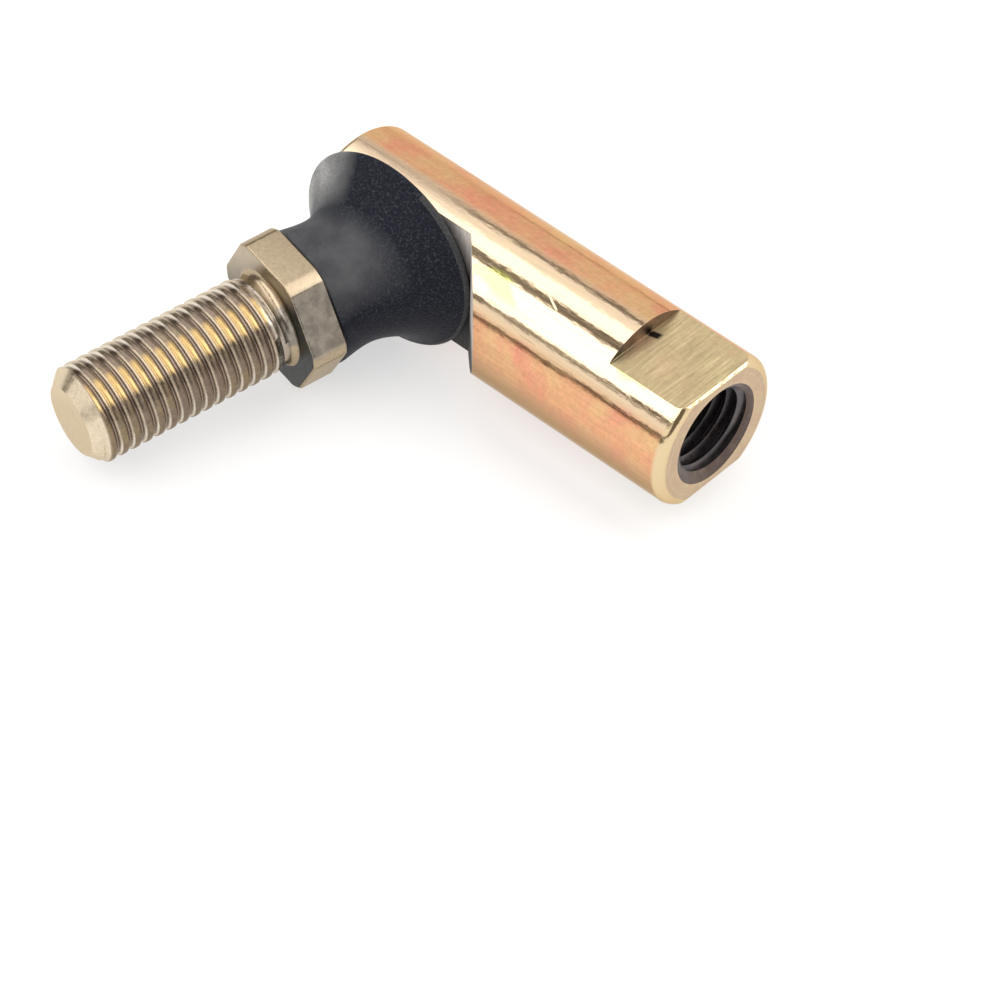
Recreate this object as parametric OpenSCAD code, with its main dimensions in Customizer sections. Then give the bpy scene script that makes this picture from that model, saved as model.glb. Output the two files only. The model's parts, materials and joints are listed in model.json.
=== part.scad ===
// Ball joint: a ball stud held at right angles in a round bar housing with a female rod thread.
// Millimetres. The origin is the mouth of the rod thread, +X points out of it and +Z is up.
// The stud points along -Y and leans from there as it does at rest.

/* [Housing] */
// Diameter of the round bar
bar_d = 12.7; // [12.4:0.1:15]
// Ball centre to the rod end's face
centre_to_face = 30; // [28:0.5:60]
// Ball centre to the closed end
centre_to_end = 6.9; // [6.4:0.1:9]
// Chamfer on the rim of the rod end
rod_chamfer = 0.7; // [0.3:0.1:0.9]
// Chamfer on the rim of the closed end
end_chamfer = 0.5; // [0.2:0.1:0.9]
// Width across the wrench flats
wrench_af = 10; // [9.6:0.1:11.6]
// Length of the wrench flats
wrench_len = 7.3; // [4:0.1:10]
// Front face, ahead of the bar's axis
face_offset = 1.7; // [1.3:0.1:2]
// Ball centre to the foot of the slanted wall
wall_foot = 6.85; // [6.6:0.05:8]
// Slant of that wall from the bar's axis, in degrees
wall_slant = 45; // [40:1:50]

/* [Rod thread] */
// Bore at the crests of the rod thread
rod_bore_d = 6.9; // [6.2:0.1:7.6]
// Length of the bore behind its countersink
rod_bore_len = 15; // [8:0.5:18]
// Mouth of the countersink
countersink_d = 8.55; // [8:0.05:8.7]
// Depth of the countersink
countersink_len = 0.48; // [0.3:0.02:0.48]

/* [Socket] */
// Diameter of the ball
ball_d = 8.73; // [8.4:0.01:8.8]
// Wall of the bearing liner
liner_wall = 0.6; // [0.5:0.05:0.7]
// Wall of the spigot around the liner
spigot_wall = 0.65; // [0.5:0.05:0.7]
// Height of the spigot on the front face
spigot_h = 0.9; // [0.6:0.05:1]
// Steel lip in front of the liner
lip = 1; // [0.8:0.05:1.2]

/* [Stud] */
// Neck behind the ball
neck_d = 4.6; // [4:0.1:4.7]
// Shank inside the boot's collar
shank_d = 7; // [6.6:0.1:7.4]
// Width across the hexagon's flats
hex_af = 11.1; // [10.5:0.1:13]
// Ball centre to the hexagon's rear face
hex_from = 10.65; // [10.4:0.05:12]
// Thickness of the hexagon
hex_len = 2.98; // [2:0.02:5]
// Outside diameter of the stud's thread
thread_d = 7.94; // [7.5:0.01:9]
// Pitch of the stud's thread
thread_pitch = 1.058; // [0.9:0.001:1.3]
// Plain length between the hexagon and the thread
plain_len = 1.9; // [1.2:0.1:3]
// Flat on the stud's tip
tip_d = 5.75; // [5:0.05:7]
// Ball centre to the stud's tip
stud_reach = 31.2; // [24:0.1:50]

/* [Boot] */
// Widest part of the boot
boot_d = 16.2; // [15.6:0.1:16.4]
// Waist of the boot
waist_d = 10.2; // [9.8:0.1:11]
// Collar behind the hexagon
collar_d = 10.9; // [10.2:0.1:12]
// Wall of the boot
boot_wall = 1.1; // [0.9:0.05:1.2]

/* [Rest pose] */
// Lean of the stud from square, in degrees
lean = 13; // [0:0.5:20]
// Side it leans to, in degrees from +X towards +Z
heading = 200; // [180:1:220]

/* [Hidden] */
$fn = 96;
ball_gap = 0.035;
liner_gap = 0.03;
rim_gap = 0.09;
boot_gap = 0.05;
bar_r = bar_d / 2;
ball_r = ball_d / 2;
liner_r = ball_r + ball_gap + liner_wall;
socket_r = liner_r + liner_gap;
spigot_r = socket_r + spigot_wall;
spigot_front = face_offset + spigot_h;
liner_front = spigot_front - lip;
ball_x = countersink_len - centre_to_face;
drill_point = rod_bore_d / 2 * tan(31);
neck_to = spigot_front + 3;
shank_from = hex_from - 3.2;
hex_to = hex_from + hex_len;
hex_corner_r = hex_af / sqrt(3) * 0.962;
hex_chamfer = 0.35;
plain_r = thread_d / 2 * 0.93;
fillet = 0.5;
thread_from = hex_to + plain_len;
thread_depth = 0.58 * thread_pitch;
thread_crest = thread_pitch / 6;
tip_chamfer = (thread_d - tip_d) / 2;
rim_z = face_offset + 1.6;
waist_z = rim_z + 3.9;
foot_r = spigot_r + boot_wall;
collar_to = hex_from - boot_gap;
dome_steps = 5;
boot_sides = 40;
cut = 1;

// Ball centre as origin, z along the socket's axis and y up
module in_socket() {
    translate([ball_x, 0, 0])
        rotate([90, 0, 0])
            children();
}

// The same, with z along the leaning stud
module on_stud() {
    in_socket()
        rotate([0, 0, heading])
            rotate([0, lean, 0])
                rotate([0, 0, -heading])
                    children();
}

module tube(from, to, r) {
    translate([0, 0, from])
        cylinder(h = to - from, r = r);
}

module taper(from, to, r_from, r_to) {
    translate([0, 0, from])
        cylinder(h = to - from, r1 = r_from, r2 = r_to);
}

module bar() {
    translate([ball_x, 0, 0])
        rotate([0, 90, 0])
            rotate_extrude()
                polygon([
                    [0, -centre_to_end],
                    [bar_r - end_chamfer, -centre_to_end],
                    [bar_r, -centre_to_end + end_chamfer],
                    [bar_r, centre_to_face - rod_chamfer],
                    [bar_r - rod_chamfer, centre_to_face],
                    [0, centre_to_face],
                ]);
}

// Milled away in front of the ball, up to the slanted wall
module front_cut() {
    run = bar_r + cut - face_offset;
    translate([ball_x, 0, -bar_r - cut])
        linear_extrude(bar_d + 2 * cut)
            polygon([
                [-centre_to_end - cut, -face_offset],
                [wall_foot, -face_offset],
                [wall_foot + run / tan(wall_slant), -bar_r - cut],
                [-centre_to_end - cut, -bar_r - cut],
            ]);
}

module wrench_cuts() {
    for (side = [-1, 1])
        translate([countersink_len - wrench_len, -bar_r - cut, side > 0 ? wrench_af / 2 : -bar_r - cut])
            cube([wrench_len + cut, bar_d + 2 * cut, bar_r + cut - wrench_af / 2]);
}

module rod_bore() {
    rotate([0, 90, 0]) {
        taper(-rod_bore_len - drill_point, -rod_bore_len, 0, rod_bore_d / 2);
        tube(-rod_bore_len - 0.01, cut / 2, rod_bore_d / 2);
        taper(0, countersink_len, rod_bore_d / 2, countersink_d / 2);
        tube(countersink_len, countersink_len + cut, countersink_d / 2);
    }
}

// Round-bottomed seat: a half ball with a straight front
module cup(r, front) {
    tube(0, front, r);
    intersection() {
        sphere(r);
        tube(-r - cut, 0.01, r + cut);
    }
}

module housing() {
    color("goldenrod")
        difference() {
            union() {
                difference() {
                    bar();
                    front_cut();
                }
                in_socket() tube(0, spigot_front, spigot_r);
            }
            wrench_cuts();
            rod_bore();
            in_socket() {
                cup(socket_r, liner_front);
                sphere(ball_r + rim_gap);
            }
        }
}

module socket_liner() {
    color("ivory")
        in_socket()
            difference() {
                cup(liner_r, liner_front - liner_gap);
                sphere(ball_r + ball_gap);
            }
}

module hexagon() {
    intersection() {
        translate([0, 0, hex_from])
            cylinder(h = hex_len, r = hex_af / sqrt(3), $fn = 6);
        union() {
            tube(hex_from, hex_to - hex_chamfer, hex_corner_r);
            taper(hex_to - hex_chamfer, hex_to, hex_corner_r, hex_corner_r - 2 * hex_chamfer);
        }
    }
}

// From inside the hexagon to the tip; rings stand at the thread's pitch, counted from the tip
module threaded_end() {
    r = thread_d / 2;
    from = hex_to - hex_len / 2;
    to = stud_reach - tip_chamfer;
    grooves = floor((to - thread_from) / thread_pitch);
    half = (thread_pitch - thread_crest) / 2;
    flat = thread_crest / 2;
    rotate_extrude()
        polygon([
            [0, from],
            [plain_r, from],
            [plain_r, thread_from],
            [r, thread_from],
            for (i = [grooves - 1 : -1 : 0])
                let (z = to - (i + 0.55) * thread_pitch)
                each [
                    [r, z - half],
                    [r - thread_depth, z - flat],
                    [r - thread_depth, z + flat],
                    [r, z + half],
                ],
            [r, to],
            [tip_d / 2, stud_reach],
            [0, stud_reach],
        ]);
}

module ball_stud() {
    color("darkkhaki")
        on_stud() {
            sphere(ball_r);
            tube(0, neck_to, neck_d / 2);
            taper(neck_to, shank_from, neck_d / 2, shank_d / 2);
            tube(shank_from, hex_from, shank_d / 2);
            hexagon();
            taper(hex_to, hex_to + fillet, plain_r + fillet, plain_r);
            threaded_end();
        }
}

// Share of the lean that the boot has taken up at this distance from the ball
function bend(z) =
    let (t = min(1, max(0, (z - spigot_front) / (waist_z - spigot_front))))
    t * t * (3 - 2 * t);

// Radius of the boot's outside: flared foot, dome, waist and collar
function boot_r(z) =
    z < rim_z ?
        foot_r + (boot_d / 2 - foot_r) * (z - face_offset) / (rim_z - face_offset)
    : z < waist_z ?
        waist_d / 2 + (boot_d - waist_d) / 4 * (1 + cos(180 * (z - rim_z) / (waist_z - rim_z)))
    : waist_d / 2 + (collar_d - waist_d) / 2 * (z - waist_z) / (collar_to - waist_z);

function about_z(p, a) = [p.x * cos(a) - p.y * sin(a), p.x * sin(a) + p.y * cos(a), p.z];

function about_y(p, a) = [p.x * cos(a) + p.z * sin(a), p.y, p.z * cos(a) - p.x * sin(a)];

// A point of the straight boot, turned about the ball as far as the boot bends there
function bent(p) = about_z(about_y(about_z(p, -heading), lean * bend(p.z)), heading);

// One closed skin: up the outside, over the collar and down the inside
module boot() {
    dome = [for (i = [0 : dome_steps]) rim_z + (waist_z - rim_z) * i / dome_steps];
    section = [
        [foot_r, face_offset],
        for (z = dome) [boot_r(z), z],
        [collar_d / 2, collar_to],
        [shank_d / 2 + boot_gap, collar_to],
        [shank_d / 2 + boot_gap, shank_from],
        for (i = [dome_steps : -1 : 0]) [boot_r(dome[i]) - boot_wall, dome[i]],
        [spigot_r + boot_gap, spigot_front],
        [spigot_r + boot_gap, face_offset],
    ];
    rows = len(section);
    points = [
        for (s = section, k = [0 : boot_sides - 1])
            bent(about_z([s.x, 0, s.y], 360 * k / boot_sides)),
    ];
    faces = [
        for (i = [0 : rows - 1], k = [0 : boot_sides - 1])
            let (j = (i + 1) % rows, m = (k + 1) % boot_sides)
            each [
                [i * boot_sides + k, j * boot_sides + k, j * boot_sides + m],
                [i * boot_sides + k, j * boot_sides + m, i * boot_sides + m],
            ],
    ];
    color("dimgray")
        in_socket()
            polyhedron(points, faces);
}

housing();
socket_liner();
ball_stud();
boot();
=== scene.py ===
import json
import math
import bmesh
import bpy
from mathutils import Matrix, Vector


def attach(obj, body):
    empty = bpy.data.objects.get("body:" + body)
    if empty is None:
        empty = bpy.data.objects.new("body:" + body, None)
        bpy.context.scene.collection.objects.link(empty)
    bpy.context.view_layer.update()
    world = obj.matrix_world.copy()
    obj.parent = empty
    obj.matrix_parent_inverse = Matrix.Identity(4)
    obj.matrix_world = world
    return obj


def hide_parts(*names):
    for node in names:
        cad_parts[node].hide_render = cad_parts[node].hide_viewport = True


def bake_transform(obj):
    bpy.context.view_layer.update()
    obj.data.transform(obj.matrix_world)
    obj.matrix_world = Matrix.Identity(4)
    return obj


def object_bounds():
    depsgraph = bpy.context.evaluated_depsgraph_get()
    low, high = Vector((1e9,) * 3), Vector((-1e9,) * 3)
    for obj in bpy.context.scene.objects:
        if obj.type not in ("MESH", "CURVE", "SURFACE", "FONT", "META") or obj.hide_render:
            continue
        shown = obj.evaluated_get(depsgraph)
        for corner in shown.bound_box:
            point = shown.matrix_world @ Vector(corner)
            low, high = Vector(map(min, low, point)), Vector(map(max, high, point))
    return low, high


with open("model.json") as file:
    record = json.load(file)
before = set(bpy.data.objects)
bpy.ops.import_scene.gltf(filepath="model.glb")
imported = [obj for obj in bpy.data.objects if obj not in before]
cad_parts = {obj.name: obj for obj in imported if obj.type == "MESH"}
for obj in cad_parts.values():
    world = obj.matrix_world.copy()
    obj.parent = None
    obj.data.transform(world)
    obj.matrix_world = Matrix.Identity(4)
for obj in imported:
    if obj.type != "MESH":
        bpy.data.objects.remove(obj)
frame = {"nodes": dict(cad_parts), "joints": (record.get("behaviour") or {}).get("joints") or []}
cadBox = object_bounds()
mm = 0.001
weldGap = 0.002 * mm
tolerance = 0.05

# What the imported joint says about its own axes
joints = {joint["name"]: joint for joint in frame["joints"]}
ballCentre = Vector(joints["lean_side"]["pos_m"])
socketAxis = Vector(joints["lean_side"]["axis"])
leanAxis = Vector(joints["stud_lean"]["axis"])
studAxis = Vector(joints["stud_spin"]["axis"])
lean = socketAxis.angle(studAxis)
print("frame loaded, stud leans", round(math.degrees(lean), 2), "degrees")

# Modelling stands on +Z with the ball at the origin; these two put a piece where it belongs
socketFrame = Matrix.Translation(ballCentre) @ Matrix.Rotation(math.radians(90), 4, "X")
studFrame = (
    Matrix.Translation(ballCentre)
    @ Matrix.Rotation(lean, 4, leanAxis)
    @ Matrix.Rotation(math.radians(90), 4, "X")
)


# Hand tools

def newPiece(name):
    piece = bpy.context.object
    piece.name = name
    piece.data.name = name
    return piece


def openForEdit(piece, kind="VERT"):
    bpy.ops.object.select_all(action="DESELECT")
    piece.select_set(True)
    bpy.context.view_layer.objects.active = piece
    bpy.ops.object.mode_set(mode="EDIT")
    bpy.ops.mesh.select_mode(type=kind)


def closeEdit():
    bpy.ops.object.mode_set(mode="OBJECT")


def pickEdges(piece, test):
    mesh = bmesh.from_edit_mesh(piece.data)
    bpy.ops.mesh.select_all(action="DESELECT")
    for edge in mesh.edges:
        if test(edge):
            edge.select_set(True)
    bmesh.update_edit_mesh(piece.data)


def pickVerts(piece, test):
    mesh = bmesh.from_edit_mesh(piece.data)
    bpy.ops.mesh.select_all(action="DESELECT")
    for vert in mesh.verts:
        if test(vert.co):
            vert.select_set(True)
    mesh.select_flush(True)
    bmesh.update_edit_mesh(piece.data)


def traceProfile(name, points):
    # one vertex, extruded from point to point; (radius, height) in millimetres
    places = [Vector((radius * mm, 0, height * mm)) for radius, height in points]
    bpy.ops.object.select_all(action="DESELECT")
    bpy.ops.mesh.primitive_plane_add(size=mm)
    piece = newPiece(name)
    openForEdit(piece)
    bpy.ops.mesh.select_all(action="SELECT")
    bpy.ops.mesh.merge(type="CENTER")
    bpy.ops.transform.translate(value=places[0])
    for here, there in zip(places, places[1:]):
        bpy.ops.mesh.extrude_vertices_move(TRANSFORM_OT_translate={"value": there - here})
    closeEdit()
    return piece


def weldAndFaceOut(piece):
    openForEdit(piece)
    bpy.ops.mesh.select_all(action="SELECT")
    bpy.ops.mesh.remove_doubles(threshold=weldGap)
    bpy.ops.mesh.normals_make_consistent(inside=False)
    if bmesh.from_edit_mesh(piece.data).calc_volume(signed=True) < 0:
        bpy.ops.mesh.flip_normals()
    closeEdit()


def turnOnLathe(name, points, steps):
    piece = traceProfile(name, points)
    openForEdit(piece)
    bpy.ops.mesh.select_all(action="SELECT")
    bpy.ops.mesh.spin(steps=steps, angle=math.tau, center=(0, 0, 0), axis=(0, 0, 1))
    closeEdit()
    weldAndFaceOut(piece)

    # each flat end becomes one face
    openForEdit(piece, "FACE")
    mesh = bmesh.from_edit_mesh(piece.data)
    bpy.ops.mesh.select_all(action="DESELECT")
    for face in mesh.faces:
        face.select_set(abs(face.normal.z) > 0.9999 and len(face.verts) == 3)
    bmesh.update_edit_mesh(piece.data)
    bpy.ops.mesh.dissolve_faces()
    closeEdit()
    return piece


def cutThread(name, profile, pitch, start, turns, steps):
    # the tooth's profile is swept up the helix, then both ends are drawn out flat and closed
    piece = traceProfile(name, [(radius, start + height) for radius, height in profile])
    bpy.ops.object.select_all(action="DESELECT")
    piece.select_set(True)
    bpy.context.view_layer.objects.active = piece
    screw = piece.modifiers.new("helix", "SCREW")
    screw.axis = "Z"
    screw.angle = math.tau
    screw.screw_offset = pitch * mm
    screw.iterations = turns
    screw.steps = steps
    screw.render_steps = steps
    screw.use_merge_vertices = True
    screw.merge_threshold = weldGap
    bpy.ops.object.modifier_apply(modifier=screw.name)
    weldAndFaceOut(piece)
    middle = start + (turns + 1) * pitch / 2
    for side, flat in ((-1, start - pitch / 2), (1, start + (turns + 1.5) * pitch)):
        openForEdit(piece, "EDGE")
        pickEdges(piece, lambda edge: edge.is_boundary and (edge.verts[0].co.z - middle * mm) * side > 0)
        bpy.ops.mesh.extrude_region_move(TRANSFORM_OT_translate={"value": (0, 0, 0)})
        bpy.ops.transform.resize(value=(1, 1, 0), center_override=(0, 0, flat * mm))
        bpy.ops.mesh.edge_face_add()
        closeEdit()
    weldAndFaceOut(piece)
    return piece


def combine(piece, tool, how):
    bpy.ops.object.select_all(action="DESELECT")
    piece.select_set(True)
    bpy.context.view_layer.objects.active = piece
    cut = piece.modifiers.new(how.lower(), "BOOLEAN")
    cut.operation = how
    cut.solver = "EXACT"
    cut.object = tool
    bpy.ops.object.modifier_apply(modifier=cut.name)
    bpy.data.objects.remove(tool)


def putInPlace(piece, place):
    piece.matrix_world = place
    bpy.ops.object.select_all(action="DESELECT")
    piece.select_set(True)
    bpy.context.view_layer.objects.active = piece
    bpy.ops.object.transform_apply(location=True, rotation=True, scale=True)


def smoothOver(piece, angle):
    bpy.ops.object.select_all(action="DESELECT")
    piece.select_set(True)
    bpy.context.view_layer.objects.active = piece
    bpy.ops.object.shade_smooth_by_angle(angle=math.radians(angle))
    even = piece.modifiers.new("even", "WEIGHTED_NORMAL")
    even.keep_sharp = True
    bpy.ops.object.modifier_apply(modifier=even.name)


def boxTool(name, low, high):
    size = Vector(high) - Vector(low)
    middle = (Vector(high) + Vector(low)) / 2
    bpy.ops.object.select_all(action="DESELECT")
    bpy.ops.mesh.primitive_cube_add(size=1, location=middle * mm, scale=size * mm)
    tool = newPiece(name)
    bpy.ops.object.transform_apply(location=True, rotation=True, scale=True)
    return tool


# Camera, at the photograph's angle

cameraSettings = {
    "lens": 169.9,
    "sensor": 36,
    "clipStart": 0.01,
    "place": (0.14982, -0.19329, 0.24599),
    "right": (0.7335, 0.6793, 0.0241),
    "up": (-0.5025, 0.5179, 0.6923),
    "back": (0.4578, -0.5199, 0.7212),
}
cameraData = bpy.data.cameras.new("camera")
cameraData.lens = cameraSettings["lens"]
cameraData.sensor_width = cameraSettings["sensor"]
cameraData.clip_start = cameraSettings["clipStart"]
camera = bpy.data.objects.new("camera", cameraData)
bpy.context.scene.collection.objects.link(camera)
cameraTurn = Matrix((cameraSettings["right"], cameraSettings["up"], cameraSettings["back"])).transposed()
camera.matrix_world = Matrix.Translation(cameraSettings["place"]) @ cameraTurn.to_4x4()
bpy.context.scene.camera = camera
print("camera set")


# Housing: round bar, milled front, wrench flats, spigot, socket and threaded bore

housingSizes = {
    "barRadius": 6.35,
    "closedEnd": -36.42,
    "rodEnd": 0.48,
    "closedRound": 0.6,
    "rodRound": 0.75,
    "frontFace": -1.7,
    "wallFoot": -22.67,
    "wrenchFrom": -6.82,
    "wrenchHalf": 5.0,
    "spigotRadius": 5.68,
    "spigotFront": 2.6,
    "socketRadius": 5.03,
    "socketFront": 1.6,
    "mouthRadius": 4.455,
    "edgeRound": 0.13,
    "flatEdge": 0.2,
    "sides": 160,
    "turnedSides": 96,
    "sharpFrom": 28,
    "smoothUnder": 32,
    "overcut": 1,
    "lipOver": 0.4,
}
rodThread = {
    "crest": 3.45,
    "root": 4.0,
    "pitch": 1.058,
    "turns": 17,
    "threadLength": 12.5,
    "boreEnd": -15,
    "drillPoint": 2.07,
    "mouth": 4.28,
    "steps": 72,
    "boreSides": 90,
    "trimOver": 0.2,
    "trimTo": 1.6,
    "runOut": 0.9,
}


def makeHousing():
    s = housingSizes
    length = s["rodEnd"] - s["closedEnd"]
    bpy.ops.object.select_all(action="DESELECT")
    bpy.ops.mesh.primitive_cylinder_add(
        vertices=s["sides"],
        radius=s["barRadius"] * mm,
        depth=length * mm,
        location=((s["closedEnd"] + length / 2) * mm, 0, 0),
        rotation=(0, math.radians(90), 0),
    )
    bar = newPiece("housing_bar")
    bpy.ops.object.transform_apply(location=True, rotation=True, scale=True)

    # both rims are rounded on the lathe
    for end, width in ((s["closedEnd"], s["closedRound"]), (s["rodEnd"], s["rodRound"])):
        openForEdit(bar, "EDGE")
        pickEdges(bar, lambda edge: all(abs(v.co.x - end * mm) < 0.01 * mm for v in edge.verts))
        bpy.ops.mesh.bevel(offset=width * mm, segments=5, profile=0.42, affect="EDGES")
        closeEdit()

    # front face and the slanted wall, milled with one cutter
    over = s["overcut"]
    reach = s["barRadius"] + over
    front = boxTool(
        "front_cutter",
        (s["closedEnd"] - over, -reach, -reach),
        (s["wallFoot"], s["frontFace"], reach),
    )
    slope = s["frontFace"] + reach
    openForEdit(front)
    pickVerts(front, lambda co: co.x > (s["wallFoot"] - 0.1) * mm and co.y < (s["frontFace"] - 0.1) * mm)
    bpy.ops.transform.translate(value=(slope * mm, 0, 0))
    closeEdit()
    combine(bar, front, "DIFFERENCE")

    # wrench flats
    for side in (1, -1):
        near, far = sorted((side * s["wrenchHalf"], side * reach))
        flat = boxTool("flat_cutter", (s["wrenchFrom"], -reach, near), (s["rodEnd"] + over, reach, far))
        combine(bar, flat, "DIFFERENCE")

    # outer edges are broken before the holes are cut
    openForEdit(bar, "EDGE")
    bpy.ops.mesh.select_all(action="DESELECT")
    bpy.ops.mesh.edges_select_sharp(sharpness=math.radians(s["sharpFrom"]))
    bpy.ops.mesh.bevel(
        offset=s["edgeRound"] * mm,
        segments=3,
        profile=0.5,
        affect="EDGES",
        clamp_overlap=True,
    )
    closeEdit()

    # the flats' front edges carry a narrow chamfer
    for side in (1, -1):
        low, high = sorted((0, side * over))
        chamfer = boxTool("chamfer_cutter", (-over, -reach, low), (over, reach, high))
        inset = s["flatEdge"] / 2
        middle = Vector((s["rodEnd"] - inset, 0, side * (s["wrenchHalf"] - inset)))
        turn = Matrix.Rotation(math.radians(45 * side), 4, "Y")
        putInPlace(chamfer, Matrix.Translation(middle * mm) @ turn)
        combine(bar, chamfer, "DIFFERENCE")
    print("housing bar milled,", len(bar.data.polygons), "faces")

    spigot = turnOnLathe(
        "spigot",
        [(0, 0), (s["spigotRadius"], 0), (s["spigotRadius"], s["spigotFront"]), (0, s["spigotFront"])],
        s["turnedSides"],
    )
    putInPlace(spigot, socketFrame)
    combine(bar, spigot, "UNION")

    # round-bottomed socket with the swaged lip left standing at its mouth
    r = s["socketRadius"]
    bowl = [(r * math.sin(a), -r * math.cos(a)) for a in (math.radians(90) * i / 14 for i in range(15))]
    m = s["mouthRadius"]
    lipHeight = s["spigotFront"] + s["lipOver"] - s["socketFront"]
    lipRun = [s["socketFront"] + lipHeight * i / 5 for i in range(6)]
    lip = [(math.sqrt(m * m - z * z), z) for z in lipRun]
    socket = turnOnLathe("socket", bowl + [(r, s["socketFront"])] + lip + [(0, lip[-1][1])], s["turnedSides"])
    putInPlace(socket, socketFrame)
    combine(bar, socket, "DIFFERENCE")
    print("housing socket turned")

    # tapped bore: plain drill and countersink first, then the thread
    t = rodThread
    drill = turnOnLathe(
        "drill",
        [
            (0, t["boreEnd"] - t["drillPoint"]),
            (t["crest"] - 0.02, t["boreEnd"]),
            (t["crest"] - 0.02, 0),
            (2 * t["mouth"] - t["crest"], 2 * s["rodEnd"]),
            (0, 2 * s["rodEnd"]),
        ],
        t["boreSides"],
    )
    putInPlace(drill, Matrix.Rotation(math.radians(90), 4, "Y"))
    combine(bar, drill, "DIFFERENCE")
    p = t["pitch"]
    tap = cutThread(
        "tap",
        [
            (t["crest"], 0),
            (t["crest"], 0.12 * p),
            (t["root"] - 0.06, 0.42 * p),
            (t["root"], 0.47 * p),
            (t["root"], 0.55 * p),
            (t["root"] - 0.06, 0.60 * p),
            (t["crest"], 0.90 * p),
            (t["crest"], p),
        ],
        p,
        -t["threadLength"] - 2 * p,
        t["turns"],
        t["steps"],
    )
    tapTrim = turnOnLathe(
        "tap_trim",
        [
            (0, -t["threadLength"]),
            (t["crest"] - tolerance, -t["threadLength"]),
            (t["root"] + t["trimOver"], -t["threadLength"] + t["runOut"]),
            (t["root"] + t["trimOver"], t["trimTo"]),
            (0, t["trimTo"]),
        ],
        t["boreSides"],
    )
    combine(tap, tapTrim, "INTERSECT")
    putInPlace(tap, Matrix.Rotation(math.radians(90), 4, "Y"))
    combine(bar, tap, "DIFFERENCE")
    weldAndFaceOut(bar)
    smoothOver(bar, s["smoothUnder"])
    print("housing tapped,", len(bar.data.polygons), "faces")
    return bar


# Ball stud: ball, neck, shank, hexagon and rolled thread

studSizes = {
    "ballRadius": 4.365,
    "neckRadius": 2.3,
    "neckTo": 5.6,
    "shankRadius": 3.5,
    "shankFrom": 7.45,
    "hexFrom": 10.65,
    "hexTo": 13.63,
    "hexAcross": 11.1,
    "hexCorner": 0.75,
    "hexEdge": 0.14,
    "plainRadius": 3.69,
    "filletRadius": 0.55,
    "plainTo": 14.7,
    "threadFrom": 15.5,
    "tip": 31.2,
    "tipRadius": 2.875,
    "coreGap": 0.1,
    "coreShort": 2,
    "runOut": (0.6, 1.15),
    "trimOver": 0.3,
    "steps": 96,
    "smoothUnder": 34,
}
studThread = {
    "crest": 3.97,
    "root": 3.54,
    "pitch": 1.058,
    "turns": 18,
    "start": 13.542,
    "steps": 80,
}


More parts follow.
